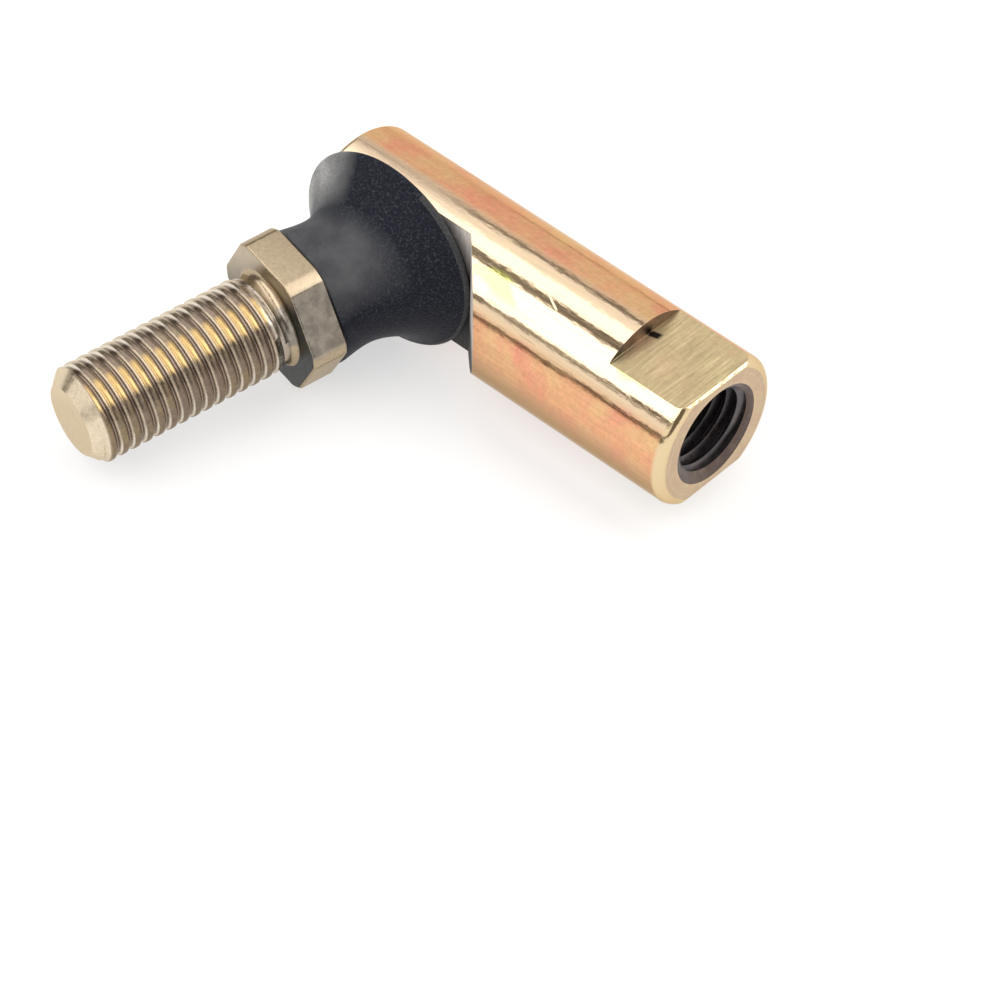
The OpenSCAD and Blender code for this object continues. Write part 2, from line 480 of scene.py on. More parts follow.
def makeStud():
    s = studSizes
    t = studThread
    ball = s["ballRadius"]
    neckAngle = math.asin(s["neckRadius"] / ball)
    sweep = [math.pi - (math.pi - neckAngle) * i / 24 for i in range(25)]
    ballRun = [(ball * math.sin(a), ball * math.cos(a)) for a in sweep]
    ballRun[0] = (0, -ball)
    fillet = s["filletRadius"]
    filletRun = [
        (
            s["plainRadius"] + fillet * (1 - math.cos(a)),
            s["hexTo"] + fillet * (1 - math.sin(a)),
        )
        for a in (math.radians(90) * (1 - i / 5) for i in range(6))
    ]
    core = turnOnLathe(
        "stud_core",
        ballRun
        + [
            (s["neckRadius"], s["neckTo"]),
            (s["shankRadius"], s["shankFrom"]),
            (s["shankRadius"], s["hexFrom"] + 0.2),
            (s["plainRadius"] + fillet, s["hexFrom"] + 0.4),
        ]
        + filletRun
        + [
            (s["plainRadius"], s["plainTo"]),
            (t["root"] - s["coreGap"], s["threadFrom"]),
            (t["root"] - s["coreGap"], s["tip"] - s["coreShort"]),
            (0, s["tip"] - s["coreShort"]),
        ],
        s["steps"],
    )
    print("stud core turned")

    # hexagon with turned corners and broken edges
    bpy.ops.object.select_all(action="DESELECT")
    bpy.ops.mesh.primitive_cylinder_add(
        vertices=6,
        radius=s["hexAcross"] / math.sqrt(3) * mm,
        depth=(s["hexTo"] - s["hexFrom"]) * mm,
        location=(0, 0, (s["hexTo"] + s["hexFrom"]) / 2 * mm),
        rotation=(0, 0, math.radians(30)),
    )
    hexagon = newPiece("stud_hexagon")
    bpy.ops.object.transform_apply(location=True, rotation=True, scale=True)
    openForEdit(hexagon, "EDGE")
    pickEdges(hexagon, lambda edge: abs(edge.verts[0].co.z - edge.verts[1].co.z) > mm)
    bpy.ops.mesh.bevel(offset=s["hexCorner"] * mm, segments=4, profile=0.32, affect="EDGES")
    pickEdges(hexagon, lambda edge: abs(edge.verts[0].co.z - edge.verts[1].co.z) < 0.1 * mm)
    bpy.ops.mesh.bevel(offset=s["hexEdge"] * mm, segments=2, profile=0.4, affect="EDGES")
    closeEdit()
    combine(core, hexagon, "UNION")

    # rolled thread, trimmed to its run-out and the tip's chamfer
    p = t["pitch"]
    thread = cutThread(
        "stud_thread",
        [
            (t["root"], 0),
            (t["root"] + 0.01, 0.05 * p),
            (t["root"] + 0.05, 0.10 * p),
            (t["crest"] - 0.07, 0.25 * p),
            (t["crest"] - 0.025, 0.29 * p),
            (t["crest"], 0.37 * p),
            (t["crest"], 0.63 * p),
            (t["crest"] - 0.025, 0.71 * p),
            (t["crest"] - 0.07, 0.75 * p),
            (t["root"] + 0.05, 0.90 * p),
            (t["root"] + 0.01, 0.95 * p),
            (t["root"], p),
        ],
        p,
        t["start"],
        t["turns"],
        t["steps"],
    )
    outside = t["crest"] + s["trimOver"]
    runFrom = s["plainTo"] - s["runOut"][0]
    runTo = s["threadFrom"] + s["runOut"][1]
    trim = turnOnLathe(
        "thread_trim",
        [
            (0, runFrom),
            (s["plainRadius"] - s["coreGap"], runFrom),
            (outside, runTo),
            (outside, s["tip"] - (outside - s["tipRadius"])),
            (s["tipRadius"], s["tip"]),
            (0, s["tip"]),
        ],
        s["steps"],
    )
    combine(thread, trim, "INTERSECT")
    combine(core, thread, "UNION")
    weldAndFaceOut(core)
    core.name = "ball_stud_steel"
    smoothOver(core, s["smoothUnder"])
    putInPlace(core, studFrame)
    print("stud threaded,", len(core.data.polygons), "faces")
    return core


# Boot: rubber rings drawn up from the housing's face; the bell is pushed aside and follows the stud

bootSizes = {
    "sides": 72,
    "footHeight": 1.74,
    "rimHeight": 2.4,
    "rimShift": (-0.6, 0.4, 0),
    "follow": (3.2, 7.6),
    "tilt": (4.2, 7.6),
    "motion": (3.0, 6.4),
    "lipRadius": 8.15,
    "lipSide": 0.4,
    "outside": [
        (6.75, 1.74),
        (7.3, 1.9),
        (7.85, 2.2),
        (8.2, 2.5),
        (8.42, 2.62),
        (8.42, 2.92),
        (8.1, 3.08),
        (7.64, 3.45),
        (7.17, 3.9),
        (6.72, 4.4),
        (6.3, 4.9),
        (5.95, 5.4),
        (5.64, 5.9),
        (5.37, 6.5),
        (5.21, 7.2),
        (5.2, 8.0),
        (5.32, 9.0),
        (5.48, 9.9),
        (5.54, 10.3),
        (5.46, 10.53),
        (5.2, 10.6),
    ],
    "inside": [
        (3.6, 10.6),
        (3.56, 10.3),
        (3.56, 7.9),
        (3.76, 7.4),
        (4.15, 6.6),
        (4.75, 5.7),
        (5.55, 4.7),
        (6.4, 3.75),
        (6.85, 3.2),
        (6.8, 2.75),
        (6.5, 2.3),
        (5.92, 1.95),
        (5.75, 1.74),
    ],
}
localLean = socketFrame.to_3x3().inverted() @ leanAxis
localStud = socketFrame.to_3x3().inverted() @ studAxis


def ease(value, low, high):
    share = min(1, max(0, (value - low) / (high - low)))
    return share * share * (3 - 2 * share)


def ringCentre(height):
    s = bootSizes
    pushed = Vector(s["rimShift"]) * ease(height, s["footHeight"], s["rimHeight"])
    onSocket = pushed + Vector((0, 0, height))
    return onSocket.lerp(localStud * height, ease(height, *s["follow"])) * mm


def ringTilt(height):
    return lean * ease(height, *bootSizes["tilt"])


def makeBoot():
    s = bootSizes
    rings = s["outside"] + s["inside"]
    bpy.ops.object.select_all(action="DESELECT")
    bpy.ops.mesh.primitive_circle_add(
        vertices=s["sides"],
        radius=rings[0][0] * mm,
        location=ringCentre(rings[0][1]),
        fill_type="NOTHING",
    )
    boot = newPiece("boot_rubber")
    bpy.ops.object.transform_apply(location=True, rotation=True, scale=True)
    openForEdit(boot, "EDGE")
    bpy.ops.mesh.select_all(action="SELECT")
    for (radius, height), (nextRadius, nextHeight) in zip(rings, rings[1:]):
        centre = ringCentre(nextHeight)
        step = centre - ringCentre(height)
        bpy.ops.mesh.extrude_region_move(TRANSFORM_OT_translate={"value": step})
        grow = nextRadius / radius
        bpy.ops.transform.resize(value=(grow, grow, grow), center_override=centre)
        turn = ringTilt(nextHeight) - ringTilt(height)
        if turn:
            mesh = bmesh.from_edit_mesh(boot.data)
            picked = [vert for vert in mesh.verts if vert.select]
            bmesh.ops.rotate(mesh, verts=picked, cent=centre, matrix=Matrix.Rotation(turn, 3, localLean))
            bmesh.update_edit_mesh(boot.data)
    pickEdges(boot, lambda edge: edge.is_boundary)
    bpy.ops.mesh.bridge_edge_loops()
    closeEdit()
    weldAndFaceOut(boot)
    soft = boot.modifiers.new("soft", "SUBSURF")
    soft.levels = 2
    soft.render_levels = 2
    bpy.ops.object.modifier_apply(modifier=soft.name)
    putInPlace(boot, socketFrame)
    bpy.ops.object.shade_smooth()
    print("boot drawn,", len(boot.data.polygons), "faces")
    return boot


# Material helpers

def newMaterial(name):
    material = bpy.data.materials.new(name)
    material.use_nodes = True
    return material, material.node_tree, material.node_tree.nodes["Principled BSDF"]


def addNode(tree, kind, **values):
    node = tree.nodes.new(kind)
    for key, value in values.items():
        setattr(node, key, value)
    return node


def setInputs(node, **values):
    for key, value in values.items():
        node.inputs[key].default_value = value
    return node


def placeInMillimetres(tree, scale=(1, 1, 1), turn=(0, 0, 0), shift=(0, 0, 0)):
    coordinates = addNode(tree, "ShaderNodeTexCoord")
    mapping = addNode(tree, "ShaderNodeMapping")
    setInputs(mapping, Scale=[1000 * part for part in scale], Rotation=turn, Location=shift)
    tree.links.new(coordinates.outputs["Object"], mapping.inputs["Vector"])
    return mapping.outputs["Vector"]


def noiseOn(tree, place, scale, detail=2.0, roughness=0.5):
    noise = addNode(tree, "ShaderNodeTexNoise")
    setInputs(noise, Scale=scale, Detail=detail, Roughness=roughness)
    tree.links.new(place, noise.inputs["Vector"])
    return noise.outputs["Fac"]


def remap(tree, value, low, high, toLow=0.0, toHigh=1.0):
    node = addNode(tree, "ShaderNodeMapRange")
    for key, number in (("From Min", low), ("From Max", high), ("To Min", toLow), ("To Max", toHigh)):
        node.inputs[key].default_value = number
    tree.links.new(value, node.inputs["Value"])
    return node.outputs["Result"]


def calculate(tree, how, first, second):
    node = addNode(tree, "ShaderNodeMath", operation=how)
    for socket, value in zip(node.inputs, (first, second)):
        if isinstance(value, (int, float)):
            socket.default_value = value
        else:
            tree.links.new(value, socket)
    return node.outputs["Value"]


def mixColours(tree, share, first, second, how="MIX"):
    node = addNode(tree, "ShaderNodeMix", data_type="RGBA", blend_type=how)
    for socket, value in zip((node.inputs[0], node.inputs[6], node.inputs[7]), (share, first, second)):
        if isinstance(value, (int, float, tuple)):
            socket.default_value = value
        else:
            tree.links.new(value, socket)
    return node.outputs[2]


def bumpFrom(tree, height, depth, shader, strength=1.0):
    bump = addNode(tree, "ShaderNodeBump")
    setInputs(bump, Strength=strength, Distance=depth * mm)
    tree.links.new(height, bump.inputs["Height"])
    tree.links.new(bump.outputs["Normal"], shader.inputs["Normal"])


def vectorMath(tree, how, first, second, output="Vector"):
    node = addNode(tree, "ShaderNodeVectorMath", operation=how)
    for socket, value in zip(node.inputs, (first, second)):
        if isinstance(value, (tuple, Vector)):
            socket.default_value = value
        else:
            tree.links.new(value, socket)
    return node.outputs[output]


def lengthOf(tree, vector):
    node = addNode(tree, "ShaderNodeVectorMath", operation="LENGTH")
    tree.links.new(vector, node.inputs[0])
    return node.outputs["Value"]


def facing(tree, offset, fromAxis, direction, low, high):
    # how far a point round an axis looks towards a direction, as a share from low to high
    towards = vectorMath(tree, "DOT_PRODUCT", offset, Vector(direction).normalized(), "Value")
    return remap(tree, calculate(tree, "DIVIDE", towards, fromAxis), low, high)


def newGroup(name, inputs, outputs):
    group = bpy.data.node_groups.new(name, "ShaderNodeTree")
    for label, kind, value in inputs:
        socket = group.interface.new_socket(label, in_out="INPUT", socket_type=kind)
        if value is not None:
            socket.default_value = value
    for label, kind in outputs:
        group.interface.new_socket(label, in_out="OUTPUT", socket_type=kind)
    return group, group.nodes.new("NodeGroupInput").outputs, group.nodes.new("NodeGroupOutput").inputs


def placeGroup(tree, group, place, **values):
    node = addNode(tree, "ShaderNodeGroup")
    node.node_tree = group
    tree.links.new(place, node.inputs["Place"])
    return setInputs(node, **values)


def times(tree, first, second):
    return calculate(tree, "MULTIPLY", first, second)


def plus(tree, first, second):
    return calculate(tree, "ADD", first, second)


def splitPlace(tree, place):
    node = addNode(tree, "ShaderNodeSeparateXYZ")
    tree.links.new(place, node.inputs["Vector"])
    return node.outputs


def shadeBy(tree, colour, noise, shade):
    return mixColours(tree, 1.0, colour, remap(tree, noise, *noiseRange, *shade), "MULTIPLY")


# Noise lies mostly inside this range, and what follows it is spread from there
noiseRange = (0.3, 0.7)

# Yellow chromate over zinc: a ground colour with blushes, straw patches and a fine cloud

tintNoise = {
    "blush": (0.42, 0.66),
    "straw": (0.47, 0.68),
    "strawSeed": 7.3,
    "cloudScale": 2.6,
    "cloudShade": (0.9, 1.06),
}


def makeChromateTint():
    s = tintNoise
    group, given, result = newGroup(
        "chromateTint",
        [
            ("Place", "NodeSocketVector", None),
            ("Ground", "NodeSocketColor", (0.8, 0.45, 0.25, 1)),
            ("Blush", "NodeSocketColor", (0.8, 0.35, 0.22, 1)),
            ("Straw", "NodeSocketColor", (0.85, 0.62, 0.25, 1)),
            ("Patch", "NodeSocketFloat", 0.3),
            ("Blushing", "NodeSocketFloat", 0.6),
            ("Strawing", "NodeSocketFloat", 0.5),
        ],
        [("Colour", "NodeSocketColor"), ("Cloud", "NodeSocketFloat")],
    )
    blush = addNode(group, "ShaderNodeTexNoise")
    straw = addNode(group, "ShaderNodeTexNoise", noise_dimensions="4D")
    cloud = addNode(group, "ShaderNodeTexNoise")
    setInputs(blush, Detail=3.0, Roughness=0.55)
    setInputs(straw, Detail=4.0, Roughness=0.6, W=s["strawSeed"])
    setInputs(cloud, Scale=s["cloudScale"], Detail=4.0, Roughness=0.65)
    for noise in (blush, straw, cloud):
        group.links.new(given["Place"], noise.inputs["Vector"])
    for noise in (blush, straw):
        group.links.new(given["Patch"], noise.inputs["Scale"])
    blushMask = times(group, remap(group, blush.outputs["Fac"], *s["blush"]), given["Blushing"])
    strawMask = times(group, remap(group, straw.outputs["Fac"], *s["straw"]), given["Strawing"])
    colour = mixColours(group, blushMask, given["Ground"], given["Blush"])
    colour = mixColours(group, strawMask, colour, given["Straw"])
    colour = shadeBy(group, colour, cloud.outputs["Fac"], s["cloudShade"])
    group.links.new(colour, result["Colour"])
    group.links.new(cloud.outputs["Fac"], result["Cloud"])
    return group


# Fine parallel lines of a tool, running along the X of the place that it is given

deepLines = (0.6, 0.72)


def makeToolLines():
    group, given, result = newGroup(
        "toolLines",
        [
            ("Place", "NodeSocketVector", None),
            ("Density", "NodeSocketFloat", 6.0),
            ("Stretch", "NodeSocketVector", (0.04, 1, 1)),
        ],
        [("Lines", "NodeSocketFloat"), ("Deep", "NodeSocketFloat")],
    )
    stretched = addNode(group, "ShaderNodeVectorMath", operation="MULTIPLY")
    group.links.new(given["Place"], stretched.inputs[0])
    group.links.new(given["Stretch"], stretched.inputs[1])
    fine = addNode(group, "ShaderNodeTexNoise")
    setInputs(fine, Detail=3.0, Roughness=0.6)
    group.links.new(stretched.outputs["Vector"], fine.inputs["Vector"])
    group.links.new(given["Density"], fine.inputs["Scale"])
    group.links.new(fine.outputs["Fac"], result["Lines"])
    group.links.new(remap(group, fine.outputs["Fac"], *deepLines), result["Deep"])
    return group


chromateTint = makeChromateTint()
toolLines = makeToolLines()


def tintOn(tree, place, colours, grain):
    return placeGroup(
        tree, chromateTint, place,
        Ground=colours["ground"], Blush=colours["blush"], Straw=colours["straw"],
        Patch=grain["patch"], Blushing=grain["blushing"], Strawing=grain["strawing"],
    )


# Small marks: a bright scratch on the bar, and painted shade in the corner beside the step

barScratch = {
    "place": (-13.7, -2.58, 5.8),
    "along": (0.889, -0.4175, -0.186),
    "across": (0.457, 0.8125, 0.362),
    "halfLength": (1.0, 0.75),
    "halfWidth": (0.10, 0.04),
    "halfDepth": (1.0, 0.5),
    "colour": (0.88, 0.82, 0.58, 1),
    "roughness": 0.5,
}
# painted shade in the corner beside the step, on the wrench flat and the step wall
stepCornerShade = {
    "place": (-6.45, 0.65, 5.0),
    "along": (1, 0, 0),
    "across": (-0.26, 0.966, 0),
    "halfLength": (0.62, 0.36),
    "halfWidth": (0.40, 0.22),
    "halfDepth": (1.0, 0.5),
    "colour": (0.03, 0.022, 0.02, 1),
}


def markOn(tree, place, s):
    offset = vectorMath(tree, "SUBTRACT", place, s["place"])
    out = Vector(s["along"]).cross(Vector(s["across"]))
    mask = 1.0
    for direction, half in ((s["along"], "halfLength"), (s["across"], "halfWidth"), (out, "halfDepth")):
        distance = vectorMath(tree, "DOT_PRODUCT", offset, direction, "Value")
        inside = remap(tree, calculate(tree, "ABSOLUTE", distance, 0), *s[half])
        mask = times(tree, inside, mask)
    return mask


barFinish = {
    "ground": (0.77, 0.42, 0.225, 1),
    "blush": (0.78, 0.33, 0.21, 1),
    "straw": (0.76, 0.53, 0.26, 1),
    # painted highlight colour for the lit top band, and painted yellow-green glints along its upper edge
    "topHighlight": (0.76, 0.59, 0.40, 1),
    "glint": (0.80, 0.78, 0.27, 1),
    "streak": (0.46, 0.32, 0.19, 1),
    # painted shade for the underside
    "paintedUnderShade": (0.48, 0.33, 0.22, 1),
    "dull": (0.74, 0.57, 0.40, 1),
    "edge": (0.80, 0.70, 0.55, 1),
    "rim": (0.72, 0.56, 0.34, 1),
    "patch": 0.33,
    "blushing": 0.9,
    "strawing": (0.6, 1.0),
    "strawRun": (-10, -2),
    "dullRun": (-22, -28),
    "rimRun": (-0.37, -0.12),
    "topSide": (0, -0.469, 0.883),
    "topShare": (0.83, 0.90),
    "underSide": (0, -0.85, -0.53),
    "underShare": (0.80, 1.0),
    "glintSide": (0, -0.545, 0.839),
    "glintShare": (0.978, 0.994),
    "glintNoise": (0.51, 0.60),
    "glintStretch": (0.5, 1, 1),
    "glintScale": 0.5,
    "lineDensity": 7.0,
    "lineStretch": (0.03, 1, 1),
    "lineShade": (0.90, 1.04),
    "lineDepth": 0.0026,
    "streaking": 0.7,
    "roughness": (0.08, 0.16),
    "dullRoughness": 0.13,
    "waveStretch": (0.35, 1, 1),
    "waveScale": 0.55,
    "waveDepth": 0.030,
    "rippleStretch": (0.6, 1, 1),
    "rippleScale": 2.2,
    "rippleDepth": 0.010,
}


def makeBarZinc():
    s = barFinish
    material, tree, shader = newMaterial("bar_zinc")
    place = placeInMillimetres(tree)
    tint = placeGroup(
        tree, chromateTint, place,
        Ground=s["ground"], Blush=s["blush"], Straw=s["straw"],
        Patch=s["patch"], Blushing=s["blushing"],
    )
    alongBar = splitPlace(tree, place)["X"]
    strawing = remap(tree, alongBar, *s["strawRun"], *s["strawing"])
    tree.links.new(strawing, tint.inputs["Strawing"])

    # painted highlight colour on the lit top with painted yellow-green glints, painted shade underneath, and
    # duller at the closed end
    fromAxis = lengthOf(tree, vectorMath(tree, "CROSS_PRODUCT", place, (1, 0, 0)))
    litTop = facing(tree, place, fromAxis, s["topSide"], *s["topShare"])
    paintedUnderShade = facing(tree, place, fromAxis, s["underSide"], *s["underShare"])
    glints = noiseOn(tree, placeInMillimetres(tree, s["glintStretch"]), s["glintScale"], 3.0)
    glints = remap(tree, glints, *s["glintNoise"])
    glints = times(tree, glints, facing(tree, place, fromAxis, s["glintSide"], *s["glintShare"]))
    # painted highlight: the lit top colour with painted glints
    topHighlight = mixColours(tree, glints, s["topHighlight"], s["glint"])
    colour = mixColours(tree, litTop, tint.outputs["Colour"], topHighlight)
    dull = remap(tree, alongBar, *s["dullRun"])
    colour = mixColours(tree, times(tree, dull, litTop), colour, s["dull"])
    # painted shade on the underside
    colour = mixColours(tree, paintedUnderShade, colour, s["paintedUnderShade"])

    # lines of the drawing die, the turned rim and the scratch
    drawn = placeGroup(tree, toolLines, place, Density=s["lineDensity"], Stretch=s["lineStretch"])
    lines = drawn.outputs["Lines"]
    colour = shadeBy(tree, colour, lines, s["lineShade"])
    streaks = times(tree, times(tree, drawn.outputs["Deep"], litTop), s["streaking"])
    colour = mixColours(tree, streaks, colour, s["streak"])
    colour = mixColours(tree, remap(tree, alongBar, *s["rimRun"]), colour, s["rim"])
    scratch = markOn(tree, place, barScratch)
    colour = mixColours(tree, scratch, colour, barScratch["colour"])
    tree.links.new(colour, shader.inputs["Base Color"])

    rough = remap(tree, lines, *noiseRange, *s["roughness"])
    rough = plus(tree, rough, times(tree, dull, s["dullRoughness"]))
    rough = plus(tree, rough, times(tree, scratch, barScratch["roughness"]))
    tree.links.new(rough, shader.inputs["Roughness"])
    wave = noiseOn(tree, placeInMillimetres(tree, s["waveStretch"]), s["waveScale"])
    ripple = noiseOn(tree, placeInMillimetres(tree, s["rippleStretch"]), s["rippleScale"])
    height = plus(tree, times(tree, wave, s["waveDepth"]), times(tree, lines, s["lineDepth"]))
    height = plus(tree, height, times(tree, ripple, s["rippleDepth"]))
    bumpFrom(tree, height, 1.0, shader)
    shader.inputs["Metallic"].default_value = 1.0
    shader.inputs["Specular Tint"].default_value = s["edge"]
    return material


milledFinish = {
    "wrench_flat_zinc": {
        "ground": (0.64, 0.51, 0.30, 1),
        "blush": (0.68, 0.48, 0.29, 1),
        "straw": (0.66, 0.57, 0.31, 1),
        "scratch": (0.85, 0.78, 0.6, 1),
        "roughness": (0.30, 0.44),
        "stretch": (1, 0.06, 1),
        "lineDepth": 0.004,
        "metallic": 1.0,
        "mark": stepCornerShade,
    },
    "milled_face_zinc": {
        "ground": (0.74, 0.70, 0.66, 1),
        "blush": (0.74, 0.66, 0.60, 1),
        "straw": (0.76, 0.71, 0.64, 1),
        "scratch": (0.8, 0.75, 0.7, 1),
        "roughness": (0.59, 0.73),
        "stretch": (1, 1, 0.1),
        "lineDepth": 0.003,
        "metallic": 0.5,
        # darker towards the bottom
        "lowerDarkRun": (0.5, -2.5),
    },
    # the step wall: painted shade in the inside corner, its blush a painted pinkish reflection
    "step_painted_shade": {
        "ground": (0.035, 0.029, 0.028, 1),
        "blush": (0.30, 0.18, 0.15, 1),
        "straw": (0.08, 0.07, 0.05, 1),
        "scratch": (0.4, 0.3, 0.25, 1),
        "roughness": (0.34, 0.48),
        "stretch": (1, 0.2, 1),
        "lineDepth": 0.003,
        "metallic": 1.0,
        "mark": stepCornerShade,
    },
}
milledGrain = {
    "patch": 0.5,
    "blushing": 0.5,
    "strawing": 0.5,
    "density": 5.0,
    "shade": (0.84, 1.12),
    "scratching": 0.4,
    "lowerDark": (0.05, 0.047, 0.046, 1),
}


def makeMilledZinc(name):
    s = milledFinish[name]
    grain = milledGrain
    material, tree, shader = newMaterial(name)
    place = placeInMillimetres(tree)
    tint = tintOn(tree, place, s, grain)
    milled = placeGroup(tree, toolLines, place, Density=grain["density"], Stretch=s["stretch"])
    lines = milled.outputs["Lines"]
    colour = shadeBy(tree, tint.outputs["Colour"], lines, grain["shade"])
    scratches = times(tree, milled.outputs["Deep"], grain["scratching"])
    colour = mixColours(tree, scratches, colour, s["scratch"])
    # darker towards the bottom
    if "lowerDarkRun" in s:
        darkBelow = remap(tree, splitPlace(tree, place)["Z"], *s["lowerDarkRun"])
        colour = mixColours(tree, darkBelow, colour, grain["lowerDark"])
    # painted shade in the corner beside the step
    if "mark" in s:
        colour = mixColours(tree, markOn(tree, place, s["mark"]), colour, s["mark"]["colour"])
    tree.links.new(colour, shader.inputs["Base Color"])
    tree.links.new(remap(tree, lines, *noiseRange, *s["roughness"]), shader.inputs["Roughness"])
    bumpFrom(tree, lines, s["lineDepth"], shader)
    shader.inputs["Metallic"].default_value = s["metallic"]
    return material


turnedFinish = {
    "end_zinc": {
        "ground": (0.56, 0.41, 0.26, 1),
        "blush": (0.52, 0.35, 0.25, 1),
        "straw": (0.60, 0.48, 0.30, 1),
        "roughness": (0.30, 0.46),
    },
    "countersink_zinc": {
        "ground": (0.12, 0.088, 0.074, 1),
        "blush": (0.10, 0.066, 0.062, 1),
        "straw": (0.20, 0.155, 0.12, 1),
        "roughness": (0.24, 0.36),
    },
    "bore_steel": {
        "ground": (0.13, 0.12, 0.125, 1),
        "blush": (0.17, 0.14, 0.13, 1),
        "straw": (0.09, 0.09, 0.10, 1),
        "roughness": (0.26, 0.40),
    },
}
turnedGrain = {
    "patch": 0.9,
    "blushing": 0.6,
    "strawing": 0.6,
    "ringScale": 4.0,
    "ringShade": (0.85, 1.12),
    "ringDepth": 0.004,
}


def makeTurnedZinc(name):
    s = turnedFinish[name]
    grain = turnedGrain
    material, tree, shader = newMaterial(name)
    place = placeInMillimetres(tree)
    tint = tintOn(tree, place, s, grain)
    fromAxis = lengthOf(tree, vectorMath(tree, "CROSS_PRODUCT", place, (1, 0, 0)))
    rings = noiseOn(tree, fromAxis, grain["ringScale"])
    colour = shadeBy(tree, tint.outputs["Colour"], rings, grain["ringShade"])
    tree.links.new(colour, shader.inputs["Base Color"])
    rough = remap(tree, tint.outputs["Cloud"], *noiseRange, *s["roughness"])
    tree.links.new(rough, shader.inputs["Roughness"])
    bumpFrom(tree, rings, grain["ringDepth"], shader)
    shader.inputs["Metallic"].default_value = 1.0
    return material


studFinish = {
    "ground": (0.21, 0.165, 0.125, 1),
    "blush": (0.21, 0.145, 0.115, 1),
    "straw": (0.28, 0.21, 0.115, 1),
    # painted gold reflection on one side of the thread, and a painted highlight on the next
    "goldReflection": (0.50, 0.345, 0.15, 1),
    "highlight": (0.66, 0.57, 0.45, 1),
    # painted highlights on the thread's flanks
    "flankHighlight": (0.78, 0.71, 0.61, 1),
    # painted shade in the thread's roots
    "root": (0.23, 0.178, 0.143, 1),
    "hexagon": (0.45, 0.36, 0.245, 1),
    # painted shade for the hexagon's dim side
    "hexShadedSide": (0.28, 0.25, 0.212, 1),
    "tip": (0.70, 0.56, 0.37, 1),
    "edge": (0.84, 0.78, 0.68, 1),
    "patch": 0.45,
    "blushing": 0.7,
    "strawing": 0.8,
    "goldReflectionSide": (0.461, -0.169, 0.871),
    "goldReflectionShare": (0.945, 0.982),
    "highlightSide": (-0.794, 0.125, 0.595),
    "highlightShare": (0.73, 0.86),
    "dimSide": (0.866, -0.227, 0.5),
    "dimShare": (0.88, 0.92),
    "threadEdge": (-0.6, 0.4),
    "flankRadii": (3.84, 3.93),
    "rootRadii": (3.66, 3.78),
    "rootShare": 0.95,
    "rootEdge": (-0.2, 0),
    "tipEdge": (-0.1, 0.2),
    "tipShare": 0.65,
    "mottleScale": 1.0,
    "mottleNoise": (0.35, 0.65),
    "mottleShade": (0.76, 1.26),
    "shade": (0.86, 1.08),
    "roughness": (0.19, 0.32),
    "grainScale": 2.0,
    "grainDepth": 0.0025,
}


def makeStudZinc():
    s = studFinish
    material, tree, shader = newMaterial("stud_plating")
    place = placeInMillimetres(tree)
    tint = tintOn(tree, place, s, s)
    offset = vectorMath(tree, "SUBTRACT", place, ballCentre / mm)
    fromAxis = lengthOf(tree, vectorMath(tree, "CROSS_PRODUCT", offset, studAxis))
    fromBall = vectorMath(tree, "DOT_PRODUCT", offset, studAxis, "Value")

    def near(height, edge, *shares):
        return remap(tree, fromBall, height + edge[0], height + edge[1], *shares)

    # the hexagon is even, with painted shade on one mottled side
    mottle = noiseOn(tree, place, s["mottleScale"], 4.0, 0.6)
    mottle = remap(tree, mottle, *s["mottleNoise"], *s["mottleShade"])
    hexShadedSide = mixColours(tree, 1.0, s["hexShadedSide"], mottle, "MULTIPLY")
    dim = facing(tree, offset, fromAxis, s["dimSide"], *s["dimShare"])
    hexColour = mixColours(tree, dim, s["hexagon"], hexShadedSide)

    # the thread: a painted gold reflection on one side, a painted highlight on the next, painted highlights
    # on the flanks and painted shade in the roots
    onThread = near(studSizes["plainTo"], s["threadEdge"])
    colour = mixColours(tree, onThread, hexColour, tint.outputs["Colour"])
    for name in ("goldReflection", "highlight"):
        side = facing(tree, offset, fromAxis, s[name + "Side"], *s[name + "Share"])
        colour = mixColours(tree, times(tree, side, onThread), colour, s[name])
    # painted highlights on the flanks
    flankHighlights = remap(tree, fromAxis, *s["flankRadii"], 1.0, 0.0)
    colour = mixColours(tree, times(tree, flankHighlights, onThread), colour, s["flankHighlight"])
    tipFrom = studSizes["tip"] - studThread["crest"] + studSizes["tipRadius"]
    # painted shade in the thread's roots
    rootShade = remap(tree, fromAxis, *s["rootRadii"], s["rootShare"], 0.0)
    rootShade = times(tree, times(tree, rootShade, onThread), near(tipFrom, s["rootEdge"], 1.0, 0.0))
    colour = mixColours(tree, rootShade, colour, s["root"])
    colour = mixColours(tree, near(tipFrom, s["tipEdge"], 0.0, s["tipShare"]), colour, s["tip"])
    colour = shadeBy(tree, colour, tint.outputs["Cloud"], s["shade"])
    tree.links.new(colour, shader.inputs["Base Color"])
    rough = remap(tree, tint.outputs["Cloud"], *noiseRange, *s["roughness"])
    tree.links.new(rough, shader.inputs["Roughness"])
    bumpFrom(tree, noiseOn(tree, place, s["grainScale"], 3.0), s["grainDepth"], shader)
    shader.inputs["Metallic"].default_value = 1.0
    shader.inputs["Specular Tint"].default_value = s["edge"]
    return material


